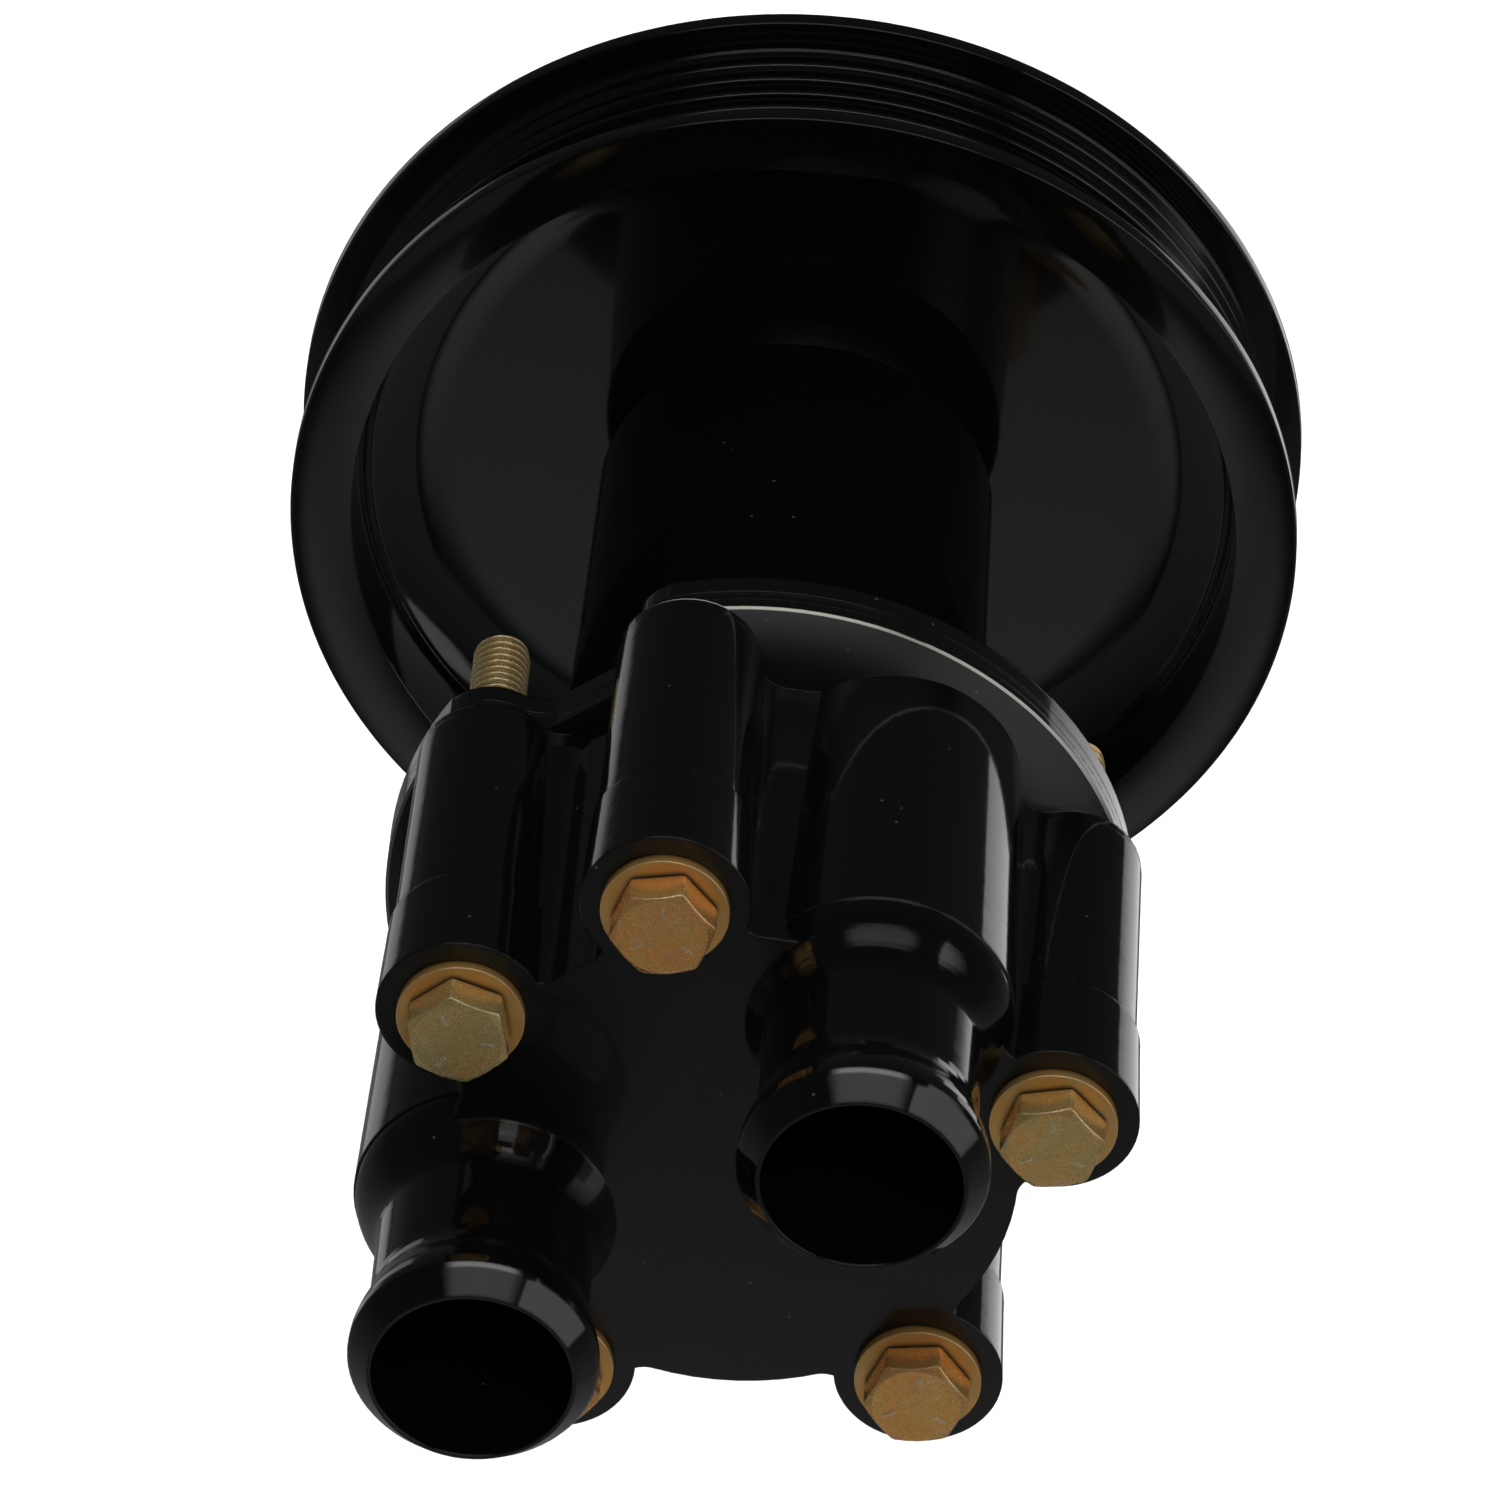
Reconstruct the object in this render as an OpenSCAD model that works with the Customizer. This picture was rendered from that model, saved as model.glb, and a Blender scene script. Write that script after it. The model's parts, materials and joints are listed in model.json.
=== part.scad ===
// Belt-driven water pump with a flexible rubber impeller.
// The shaft lies along Y. The belt plane is at y = 0 and the pulley is at the +Y end.
// A ported pump body closes the -Y end, and its two hose spigots point along -Y.
// Millimetres. X is across the pump and Z is up.

/* [Pulley] */
// Diameter over the pulley's two side flanges
pulley_od = 144; // [120:1:180]
// Height of the side flanges above the belt ribs
flange_height = 4.43; // [3:0.1:6]
// Thickness of each side flange
flange_width = 2.47; // [1.5:0.1:4]
// Number of belt grooves
groove_count = 6; // [4:1:8]
// Distance from one groove to the next
groove_pitch = 3.56; // [3.2:0.02:4.4]
// Depth of a belt groove
groove_depth = 2.9; // [2:0.1:3.4]
// Flat width on top of each belt rib
rib_flat = 0.7; // [0.4:0.1:1]
// Flat width at the bottom of each groove
groove_floor = 0.75; // [0.4:0.1:1]
// Wall under the groove bottoms
rim_wall = 1.5; // [1.2:0.1:4]
// Draft of the rim's inner wall, over its depth
rim_draft = 1; // [0:0.1:2]
// Distance from the belt plane to the web's rear face
web_offset = 4; // [2:0.5:6]
// Thickness of the pulley web
web_thickness = 4; // [3:0.5:6]
// Radial reach of the cove between the rim and the web
cove_reach = 12.3; // [6:0.1:15]
// Depth of that cove along the shaft
cove_depth = 5.1; // [3:0.1:8]
// Radius of the small cove on the web's front side
front_cove = 5; // [3:0.5:6]

/* [Pulley hub] */
// Radius of the hub flange that the web is screwed to
hub_flange_r = 20.5; // [19:0.5:24]
// Thickness of the hub flange
hub_flange_t = 7; // [5:0.5:8]
// Radius of the nose that centres the web
hub_nose_r = 10; // [9.5:0.1:10.2]
// Radius of the circle of pulley screws
screw_circle_r = 15.25; // [15:0.05:17]
// Number of pulley screws
screw_count = 4; // [3:1:4]
// Diameter of the pulley screws
screw_d = 6; // [5:0.5:6]

/* [Shaft] */
// Shaft diameter in the pulley hub
shaft_hub_d = 15; // [12:0.5:16]
// Shaft diameter in the bearings
shaft_bearing_d = 20; // [17:0.5:24]
// Shaft diameter in the impeller
shaft_impeller_d = 15.88; // [12:0.01:17]

/* [Bearings] */
// Outside diameter of the ball bearings
bearing_od = 47; // [44:1:58]
// Width of each bearing
bearing_w = 14; // [12:0.5:18]
// Distance between the two bearings
bearing_spacing = 32; // [20:1:48]
// Ball diameter
ball_d = 7.94; // [7:0.01:8]
// Balls in each bearing
ball_count = 8; // [6:1:8]
// Gap between a ball and the groove it runs in
ball_gap = 0.2; // [0.1:0.05:0.3]

/* [Bearing housing] */
// Wall around the bearings at the front end of the barrel
barrel_wall = 4.8; // [3:0.1:8]
// Growth of the barrel radius from its front end to its flange
barrel_draft = 1.7; // [0:0.1:3]
// Gap between the pulley web and the barrel's front end
barrel_gap = 10.1; // [9:0.1:14]
// Thickness of the bearing retaining ring
ring_t = 1.75; // [1.2:0.05:2]
// Length of barrel in front of the retaining ring
ring_lip = 2.15; // [1.5:0.05:4]
// Thickness of the housing's mounting flange
housing_flange_t = 3.3; // [2.5:0.1:8]

/* [Seals] */
// Outside diameter of the grease seal
grease_seal_od = 35; // [32:1:40]
// Width of the grease seal
grease_seal_w = 7; // [5:0.5:8]
// Length of the drained space between the two seals
weep_length = 6.5; // [5:0.5:10]
// Radius of the drained space
weep_r = 15; // [14:0.5:17]
// Diameter of the weep hole
weep_hole_d = 5; // [3:0.5:5]
// Depth of the pocket that holds the face seal
seal_pocket_depth = 11.6; // [11:0.1:16]
// Radius of the pocket that holds the face seal
seal_pocket_r = 18; // [17:0.5:20]

/* [Pump body] */
// Radius of the impeller chamber
chamber_r = 33; // [30:0.5:34]
// Width of the impeller
impeller_w = 51; // [40:0.5:62]
// Wall around the chamber
body_wall = 5.4; // [4:0.1:6]
// Thickness of the body's closed end
end_wall = 5.2; // [4:0.1:8]
// Thickness of the rim at the body's open end
body_rim_t = 1.8; // [1.5:0.1:6]
// Thickness of the two wear plates
wear_plate_t = 1.2; // [0.8:0.1:2]
// Thickness of the paper gasket
gasket_t = 0.5; // [0.3:0.1:1]
// Height of the cam pad that squeezes the vanes
cam_height = 3; // [2:0.5:5]
// Half of the angle that the cam pad spans
cam_half_angle = 34; // [26:1:36]
// Direction of the cam pad, from +X towards +Z
cam_angle = 130; // [124:1:134]

/* [Body bolts] */
// Radius of the bolt circle
bolt_circle_r = 43.95; // [43.5:0.05:54]
// Diameter of the body bolts
bolt_d = 7.94; // [6:0.01:9]
// Length of the four long body bolts under the head
bolt_length = 82.55; // [74:0.01:100]
// Distance from the short bolt's end to the flange's front face
short_bolt_depth = 1; // [0.5:0.1:2]
// Width across the flats of the bolt heads
bolt_head_af = 12.7; // [10:0.1:15]
// Height of the bolt heads
bolt_head_h = 5.2; // [4:0.1:7]
// Outside diameter of the flat washers
washer_od = 17.4; // [16:0.1:20]
// Thickness of the flat washers
washer_t = 1.6; // [1:0.1:2.5]
// Radius of the bolt bosses at the body's open end
boss_r = 9.9; // [8:0.1:11]
// Growth of the boss radius over the body's length
boss_draft = 0.6; // [0:0.1:1]
// Extra radius of the thicker stage under each bolt head
boss_step = 0.55; // [0:0.05:1]
// Length of that thicker stage
boss_step_length = 16.5; // [10:0.5:30]

/* [Hose spigots] */
// Distance of the upper port from the shaft
upper_port_reach = 30.2; // [29:0.1:34]
// Direction of the upper port, from +X towards +Z
upper_port_angle = 55.8; // [50:0.1:62]
// Distance of the lower port from the shaft
lower_port_reach = 35.4; // [33:0.1:37]
// Direction of the lower port
lower_port_angle = 203.1; // [200:0.1:206]
// Length of the spigots beyond the body's end face
spigot_length = 34.3; // [28:0.5:45]
// Bore of the spigots
spigot_bore_d = 24.8; // [20:0.1:26]
// Outside diameter of the spigot neck, under the hose
neck_d = 29.7; // [28:0.1:32]
// Diameter over the hose bead
bead_d = 34; // [32:0.1:36]
// Diameter of the port bulge at the body's end face
bulge_d = 37.6; // [36:0.1:39]
// Shrinkage of the bulge radius towards the body's open end
bulge_draft = 1.4; // [0:0.1:2]

/* [Hidden] */
$fn = 96;
eps = 0.01;
run_gap = 0.3;      // between turning and standing faces
fit_gap = 0.05;     // between faces that locate each other
bolt_gap = 0.3;     // between a body bolt and its hole
edge = 0.6;         // small edge break
INCH_THREAD_PITCH = 1.411;

// Radii of the pulley rim
flange_r = pulley_od / 2;
rib_r = flange_r - flange_height;
rim_mouth_r = rib_r - groove_depth - rim_wall;
rim_inner_r = rim_mouth_r - rim_draft;
pulley_w = groove_count * groove_pitch + 2 * flange_width;
web_rear = web_offset;
web_front = web_rear + web_thickness;

// Stations along the shaft, from the pulley back to the spigots
barrel_end = web_rear - barrel_gap;
ring_front = barrel_end - ring_lip;
front_bearing_y = ring_front - ring_t;
front_bearing_back = front_bearing_y - bearing_w;
rear_bearing_y = front_bearing_back - bearing_spacing;
rear_bearing_back = rear_bearing_y - bearing_w;
grease_seal_back = rear_bearing_back - grease_seal_w;
seal_wall = 2.5;
weep_front = grease_seal_back - seal_wall;
weep_back = weep_front - weep_length;
housing_back = weep_back - seal_pocket_depth;
housing_face = housing_back + housing_flange_t;
plate_back = housing_back - gasket_t - wear_plate_t;
floor_plate_front = plate_back - impeller_w - 2 * run_gap;
chamber_floor = floor_plate_front - wear_plate_t;
body_end = chamber_floor - end_wall;
mouth_y = body_end - spigot_length;
bolt_seat = body_end - washer_t;
bolt_tip = bolt_seat + bolt_length;

// Barrel and flange
barrel_front_r = bearing_od / 2 + barrel_wall;
barrel_rear_r = barrel_front_r + barrel_draft;
bolt_hole_r = bolt_d / 2 + bolt_gap;
plate_r = bolt_circle_r + 7.75;
ear_r = plate_r - bolt_circle_r;
ear_fillet = 5;
scallop_floor_r = bolt_circle_r - 2.95;
BOLT_ANGLES = [16, 106.4, 151.25, 239, 308.8];
SHORT_BOLT = 2;     // this bolt ends in the housing flange's tapped hole

// Bearings
shaft_r = shaft_bearing_d / 2;
ball_circle_r = (shaft_bearing_d + bearing_od) / 4;
inner_race_r = ball_circle_r - 0.32 * ball_d;
outer_race_r = ball_circle_r + 0.334 * ball_d;
shield_inset = 0.4;
shield_t = 0.8;
cage_w = ball_d + 1.7;
pocket_gap = 0.13;

// Chamber, cam and impeller
core_r = chamber_r + body_wall;
passage_r = spigot_bore_d / 2 + 1.1;
passage_roof = 4.5;         // solid left between a passage and the open face
seal_groove_r = chamber_r + 2.6;
seal_ring_w = 2.4;
seal_ring_t = 1.6;
cam_key_w = 5;
cam_key_h = 0.8;
vane_count = 12;
vane_t = 3;
vane_tip_r = chamber_r - cam_height - 0.4;
vane_bead_r = 2.1;
insert_r = shaft_impeller_d / 2 + 3.6;
impeller_hub_r = insert_r + 5;
key_w = 4.76;
// The cam pad's working face is part of a large cylinder
cam_shift = (pow(chamber_r, 2) - pow(chamber_r - cam_height, 2))
    / (2 * (chamber_r - cam_height - chamber_r * cos(cam_half_angle)));
cam_face_r = chamber_r - cam_height + cam_shift;

// Spigots
UPPER_PORT = [upper_port_reach * cos(upper_port_angle), upper_port_reach * sin(upper_port_angle)];
LOWER_PORT = [lower_port_reach * cos(lower_port_angle), lower_port_reach * sin(lower_port_angle)];
PORTS = [UPPER_PORT, LOWER_PORT];
neck_r = neck_d / 2;
bead_r = bead_d / 2;
bulge_r = bulge_d / 2;
bead_face_r = bead_r - 2.9;
mouth_r = bead_face_r - 0.5;
mouth_run = 8;
shoulder_ledge = 0.25;
shoulder_run = 10.6;
web_fillet = 4;

BOLTS = [for (i = [1:5]) str("body_bolt_", i)];
BOLT_WASHERS = [for (i = [1:5]) str("body_washer_", i)];
SCREWS = [for (i = [1:4]) str("pulley_screw_", i)];
SCREW_WASHERS = [for (i = [1:4]) str("pulley_lock_washer_", i)];

// ---- helpers: everything round is made along Y ----

// Solid cylinder along Y from station a to station b
module rod(r, a, b)
    translate([0, a, 0])
    rotate([-90, 0, 0])
    cylinder(h = b - a, r = r);

// Cone along Y, with radius ra at station a and rb at station b
module taper(ra, rb, a, b)
    translate([0, a, 0])
    rotate([-90, 0, 0])
    cylinder(h = b - a, r1 = ra, r2 = rb);

// Ring along Y
module ring(r_out, r_in, a, b)
    difference() {
        rod(r_out, a, b);
        rod(r_in, a - 1, b + 1);
    }

// Turned solid: a profile of [radius, station] points spun about Y
module turned(points)
    rotate([-90, 0, 0])
    rotate_extrude()
    polygon(points);

// Plate from station a to station b whose outline is drawn in X and Z
module plate(a, b)
    translate([0, b, 0])
    rotate([90, 0, 0])
    linear_extrude(b - a)
    children();

// Moves its children out to a polar place in the XZ plane
module at(angle, reach)
    translate([reach * cos(angle), 0, reach * sin(angle)])
    children();

// Turns its children about the shaft, from +X towards +Z
module turn(angle)
    rotate([0, -angle, 0])
    children();

// Points of an elliptical arc about a centre, from angle a to angle b
function arc(centre, rx, ry, a, b, steps = 12) =
    [for (i = [0:steps]) let (t = a + (b - a) * i / steps)
        [centre[0] + rx * cos(t), centre[1] + ry * sin(t)]];

// ---- pulley ----

// Outline of the belt grooves, as [radius, station] points from rear to front
function groove_points() =
    let (start = -pulley_w / 2 + flange_width, floor_r = rib_r - groove_depth)
    [for (i = [0:groove_count - 1])
        let (a = start + i * groove_pitch, m = a + groove_pitch / 2, b = a + groove_pitch)
        each [[rib_r, a + rib_flat / 2], [floor_r, m - groove_floor / 2],
            [floor_r, m + groove_floor / 2], [rib_r, b - rib_flat / 2]]];

module pulley() {
    half = pulley_w / 2;
    inner = half - flange_width;
    cove = arc([rim_inner_r - cove_reach, web_rear - cove_depth], cove_reach, cove_depth, 0, 90);
    front = arc([rim_mouth_r - front_cove, web_front + front_cove], front_cove, front_cove, -90, 0);
    rim = concat(
        [[rim_mouth_r, -half], [flange_r - edge, -half], [flange_r, -half + edge]],
        [[flange_r, -inner - edge / 2], [flange_r - edge / 2, -inner], [rib_r, -inner]],
        groove_points(),
        [[rib_r, inner], [flange_r - edge / 2, inner], [flange_r, inner + edge / 2]],
        [[flange_r, half - edge], [flange_r - edge, half], [rim_mouth_r, half]]);
    web = [for (p = concat([[hub_nose_r + fit_gap, web_front]], front)) p];
    back = concat(cove, [[hub_nose_r + fit_gap, web_rear]]);
    color([0.03, 0.03, 0.032])
    difference() {
        turned(concat(rim, [for (i = [len(web) - 1:-1:0]) web[i]], [for (i = [len(back) - 1:-1:0]) back[i]]));
        for (i = [0:screw_count - 1])
            at(45 + i * 360 / screw_count, screw_circle_r)
            rod(screw_d / 2 + 0.2, web_rear - 1, web_front + 1);
    }
}

module pulley_hub() {
    nose_end = web_front - 0.4;
    back = barrel_end - ring_lip - ring_t;
    color([0.55, 0.56, 0.58])
    difference() {
        union() {
            rod(inner_race_r - 1.2, back, web_rear - hub_flange_t + eps);
            rod(hub_flange_r, web_rear - hub_flange_t, web_rear);
            rod(hub_nose_r, web_rear - eps, nose_end);
        }
        rod(shaft_hub_d / 2, back - 1, nose_end + 1);
        for (i = [0:screw_count - 1])
            at(45 + i * 360 / screw_count, screw_circle_r)
            rod(screw_d / 2, web_rear - hub_flange_t - 1, web_rear + 1);
    }
}

lock_washer_t = 1.4;

module pulley_screw(i) {
    head_af = screw_d * 5 / 3;
    head_back = web_front + lock_washer_t;
    color([0.72, 0.73, 0.75])
    if (i <= screw_count)
        at(45 + (i - 1) * 360 / screw_count, screw_circle_r) {
            rod(screw_d / 2 - fit_gap / 2, web_rear - hub_flange_t + 0.5, head_back + eps);
            translate([0, head_back, 0])
            rotate([-90, 0, 0])
            intersection() {
                cylinder(h = 3.6, r = head_af / sqrt(3), $fn = 6);
                cylinder(h = 3.6, r1 = head_af / 2 + 2, r2 = head_af / 2 - 0.2);
            }
        }
}

module pulley_lock_washer(i)
    color([0.6, 0.61, 0.63])
    if (i <= screw_count)
        at(45 + (i - 1) * 360 / screw_count, screw_circle_r)
        difference() {
            ring(screw_d / 2 + 2.2, screw_d / 2 + 0.15, web_front, web_front + lock_washer_t);
            rotate([0, 30, 0])
            translate([0, web_front - 1, -0.6])
            cube([screw_d, lock_washer_t + 2, 1.2]);
        }

// ---- shaft and what turns with it ----

shaft_front = web_front - 0.5;
shaft_back = floor_plate_front + 0.5;
key_front = plate_back - 6;
key_back = shaft_back + 6;

module key_block(gap)
    translate([-key_w / 2 - gap, key_back - gap, shaft_impeller_d / 2 - key_w / 2])
    cube([key_w + 2 * gap, key_front - key_back + 2 * gap, key_w]);

module shaft() {
    chamfer = 0.8;
    color([0.75, 0.76, 0.78])
    difference() {
        turned([[0, shaft_back], [shaft_impeller_d / 2 - chamfer, shaft_back],
            [shaft_impeller_d / 2, shaft_back + chamfer], [shaft_impeller_d / 2, weep_back],
            [shaft_r - chamfer / 2, weep_back], [shaft_r, weep_back + chamfer / 2],
            [shaft_r, front_bearing_y], [shaft_hub_d / 2, front_bearing_y],
            [shaft_hub_d / 2, shaft_front - chamfer], [shaft_hub_d / 2 - chamfer, shaft_front],
            [0, shaft_front]]);
        key_block(0);
        // centre hole in the front end, for turning
        taper(0.2, 2.6, shaft_front - 4, shaft_front + 0.2);
    }
}

module impeller_key()
    color([0.7, 0.66, 0.5])
    key_block(0);

module impeller_hub()
    color([0.72, 0.56, 0.28])
    difference() {
        ring(insert_r, shaft_impeller_d / 2, floor_plate_front + run_gap, plate_back - run_gap);
        translate([-key_w / 2, floor_plate_front, 0])
        cube([key_w, impeller_w + 1, shaft_impeller_d / 2 + key_w / 2 + 0.1]);
    }

module impeller() {
    back = floor_plate_front + run_gap;
    front = plate_back - run_gap;
    color([0.08, 0.08, 0.085])
    difference() {
        union() {
            rod(impeller_hub_r, back, front);
            for (i = [0:vane_count - 1])
                turn(i * 360 / vane_count) {
                    translate([impeller_hub_r - 1, back, -vane_t / 2])
                    cube([vane_tip_r - vane_bead_r - impeller_hub_r + 1, front - back, vane_t]);
                    translate([vane_tip_r - vane_bead_r, 0, 0])
                    rod(vane_bead_r, back, front);
                }
        }
        rod(insert_r, back - 1, front + 1);
    }
}

module slinger()
    color([0.1, 0.1, 0.1])
    turned([[shaft_r, weep_front - 2], [shaft_r, weep_front - 4.6], [shaft_r + 1.4, weep_front - 4.6],
        [shaft_r + 1.8, weep_front - 3.6], [weep_r - 1.3, weep_front - 3.6],
        [weep_r - 1, weep_front - 2.8], [weep_r - 1.3, weep_front - 2]]);

module bearing_spacer()
    color([0.6, 0.61, 0.62])
    ring(inner_race_r - 1.2, shaft_r, rear_bearing_y, front_bearing_back);

// Face seal: the carbon ring turns against the ceramic seat
seat_back = weep_back - 5.5;
carbon_front = seat_back - run_gap;
carbon_back = carbon_front - 2.7;
seal_tail = plate_back - run_gap;
shaft_small_r = shaft_impeller_d / 2;

module seal_carbon()
    color([0.12, 0.12, 0.13])
    ring(shaft_small_r + 4.6, shaft_small_r + 0.7, carbon_back, carbon_front);

module seal_bellows()
    color([0.05, 0.05, 0.05])
    turned([[shaft_small_r, seal_tail], [shaft_small_r + 2.6, seal_tail],
        [shaft_small_r + 2.6, seal_tail + 1.2], [shaft_small_r + 1.8, seal_tail + 1.8],
        [shaft_small_r + 1.8, carbon_back - 1.4], [shaft_small_r + 4.6, carbon_back - 1],
        [shaft_small_r + 4.6, carbon_back], [shaft_small_r, carbon_back]]);

// Seal spring: one polyhedron swept along a helix
spring_turns = 2.5;
spring_wire_r = 0.5;
spring_r = shaft_small_r + 3.7;
spring_steps = 16;
spring_sides = 8;

function spring_point(i, j) =
    let (a = 360 * i / spring_steps, b = 360 * j / spring_sides,
        span = carbon_back - 1.2 - seal_tail - 2 * spring_wire_r - 0.04,
        y = seal_tail + 0.02 + spring_wire_r + span * i / (spring_turns * spring_steps),
        r = spring_r + spring_wire_r * cos(b))
    [r * cos(a), y + spring_wire_r * sin(b), r * sin(a)];

module seal_spring() {
    rings = floor(spring_turns * spring_steps);
    points = [for (i = [0:rings]) for (j = [0:spring_sides - 1]) spring_point(i, j)];
    sides = [for (i = [0:rings - 1]) for (j = [0:spring_sides - 1])
        let (k = (j + 1) % spring_sides, a = i * spring_sides, b = (i + 1) * spring_sides)
        [a + j, a + k, b + k, b + j]];
    first = [for (j = [spring_sides - 1:-1:0]) j];
    last = [for (j = [0:spring_sides - 1]) rings * spring_sides + j];
    color([0.75, 0.75, 0.77])
    polyhedron(points, concat(sides, [first, last]), convexity = 6);
}

// ---- bearings ----

module ball_groove(y, gap)
    translate([0, y - bearing_w / 2, 0])
    rotate([-90, 0, 0])
    rotate_extrude()
    translate([ball_circle_r, 0])
    circle(r = ball_d / 2 + gap, $fn = 48);

module inner_race(y)
    color([0.78, 0.79, 0.8])
    difference() {
        ring(inner_race_r, shaft_r, y - bearing_w, y);
        ball_groove(y, ball_gap);
    }

module outer_race(y)
    color([0.78, 0.79, 0.8])
    difference() {
        ring(bearing_od / 2, outer_race_r, y - bearing_w, y);
        ball_groove(y, ball_gap);
    }

module bearing_shields(y)
    color([0.12, 0.12, 0.12])
    for (a = [y - shield_inset - shield_t, y - bearing_w + shield_inset])
        ring(outer_race_r, inner_race_r + 0.4, a, a + shield_t);

module balls(y)
    color([0.85, 0.86, 0.88])
    for (i = [0:ball_count - 1])
        at(i * 360 / ball_count, ball_circle_r)
        translate([0, y - bearing_w / 2, 0])
        sphere(d = ball_d);

module cage(y)
    color([0.7, 0.55, 0.3])
    difference() {
        ring(ball_circle_r + 0.9, ball_circle_r - 0.9, y - bearing_w / 2 - cage_w / 2,
            y - bearing_w / 2 + cage_w / 2);
        // round pockets, one for each ball, drilled in towards the shaft
        for (i = [0:ball_count - 1])
            turn(i * 360 / ball_count)
            translate([0, y - bearing_w / 2, 0])
            rotate([0, 90, 0])
            cylinder(h = ball_circle_r + 4, r = ball_d / 2 + pocket_gap);
    }

module bearing_retaining_ring() {
    r = bearing_od / 2 + 1;
    color([0.35, 0.35, 0.36])
    difference() {
        ring(r, r - 3.4, ring_front - ring_t, ring_front);
        // opening at the ends of the ring
        translate([-4, ring_front - ring_t - 1, r - 7])
        cube([8, ring_t + 2, 8]);
    }
}

// ---- housing and static seals ----

module grease_seal() {
    r = grease_seal_od / 2;
    color([0.35, 0.18, 0.12])
    turned([[r, grease_seal_back], [r, rear_bearing_back], [r - 1.6, rear_bearing_back],
        [r - 1.6, grease_seal_back + 2], [shaft_r + 2.2, grease_seal_back + 2],
        [shaft_r + 2, grease_seal_back + 4.6], [shaft_r + 0.9, grease_seal_back + 4.6],
        [shaft_r + 0.35, grease_seal_back + 3.6], [shaft_r + 1.2, grease_seal_back]]);
}

module seal_seat()
    color([0.9, 0.88, 0.82])
    ring(shaft_r + 4.2, shaft_r - 1.1, seat_back, weep_back - 1.2);

module seal_seat_cup()
    color([0.06, 0.06, 0.06])
    difference() {
        rod(seal_pocket_r, weep_back - 4.8, weep_back);
        rod(shaft_r + 4.2, weep_back - 6, weep_back - 1.2);
        rod(shaft_r + 0.6, weep_back - 3, weep_back + 1);
    }

// Point at a polar place
function spot(angle, reach) = [reach * cos(angle), reach * sin(angle)];

// Turns of the scallop's corners, seen from the shaft and from the corner's centre
corner_reach = scallop_floor_r + ear_fillet;
corner_to_ear = ear_r + ear_fillet;
swing = acos((pow(bolt_circle_r, 2) + pow(corner_reach, 2) - pow(corner_to_ear, 2))
    / (2 * bolt_circle_r * corner_reach));
bend = acos((pow(corner_reach, 2) + pow(corner_to_ear, 2) - pow(bolt_circle_r, 2))
    / (2 * corner_reach * corner_to_ear));

// Edge of half the scallop, from the ear at bolt angle a down to the floor; side is 1 or -1
function scallop_half(a, side) = concat(
    [for (i = [0:8]) spot(a, bolt_circle_r) + spot(a + side * (12 + (swing + bend - 12) * i / 8), ear_r)],
    [for (i = [5:-1:0]) spot(a + side * swing, corner_reach)
        + spot(a + side * swing + 180 + side * bend * i / 6, ear_fillet)]);

// Outline shared by the body rim, the wear plate, the gasket and the housing flange:
// a disc with a scallop between two of the bolts
module rim_outline() {
    a = BOLT_ANGLES[1];
    b = BOLT_ANGLES[2];
    first = scallop_half(a, 1);
    last = scallop_half(b, -1);
    difference() {
        circle(r = plate_r);
        polygon(concat(first, [for (i = [len(last) - 1:-1:0]) last[i]],
            [last[0] + spot(b, 9), spot((a + b) / 2, 2 * plate_r), first[0] + spot(a, 9)]));
        for (t = BOLT_ANGLES)
            translate(spot(t, bolt_circle_r))
            circle(r = bolt_hole_r);
    }
}

module flange_gasket()
    color([0.45, 0.42, 0.36])
    difference() {
        plate(housing_back - gasket_t, housing_back)
        rim_outline();
        rod(seal_pocket_r, housing_back - 2, housing_back + 1);
    }

module wear_plate()
    color([0.5, 0.51, 0.52])
    difference() {
        plate(plate_back, housing_back - gasket_t)
        rim_outline();
        rod(seal_pocket_r - 3, plate_back - 1, housing_back + 1);
    }

module bearing_housing()
    color([0.03, 0.03, 0.032])
    difference() {
        union() {
            plate(housing_back, housing_face)
            rim_outline();
            taper(barrel_rear_r, barrel_front_r, housing_back, barrel_end);
        }
        rod(bearing_od / 2, rear_bearing_back, barrel_end + 1);
        rod(bearing_od / 2 + 1, ring_front - ring_t, ring_front);
        rod(grease_seal_od / 2, grease_seal_back, rear_bearing_back + 1);
        rod(shaft_r + 2, weep_back - 1, rear_bearing_back);
        rod(weep_r, weep_back - 1, weep_front);
        rod(seal_pocket_r, housing_back - 1, weep_back);
        // weep hole, straight down
        translate([0, (weep_front + weep_back) / 2, -barrel_rear_r - 1])
        cylinder(h = barrel_rear_r, d = weep_hole_d);
    }

// ---- pump body ----

// Outline of the body between its rim and its end face, with filleted corners
module body_outline()
    offset(r = -web_fillet, $fn = 48)
    offset(delta = web_fillet, $fn = 48) {
        circle(r = core_r, $fn = 80);
        for (a = BOLT_ANGLES)
            translate([bolt_circle_r * cos(a), bolt_circle_r * sin(a)])
            circle(r = boss_r - 0.15, $fn = 40);
        for (p = PORTS)
            translate(p)
            circle(r = bulge_r - bulge_draft - 0.2, $fn = 56);
    }

// Spigot profile: turned shoulder inside a thin ledge, neck, flared bead and chamfered mouth
module spigot() {
    shoulder = chamber_floor - 1.2;
    top = bulge_r - shoulder_ledge;
    turned(concat(
        [[0, chamber_floor - eps], [top, chamber_floor - eps]],
        [for (i = [0:14])
            [neck_r + (top - neck_r) * (1 + cos(180 * i / 14)) / 2, shoulder - shoulder_run * i / 14]],
        [for (i = [0:8])
            [neck_r + (bead_r - neck_r) * (1 - cos(22.5 * i)) / 2, mouth_y + 14.7 - 1.3 * i]],
        [[bead_r, mouth_y + 3.9], [bead_r - 0.4, mouth_y + 3.2], [bead_face_r, mouth_y], [0, mouth_y]]));
}

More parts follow.
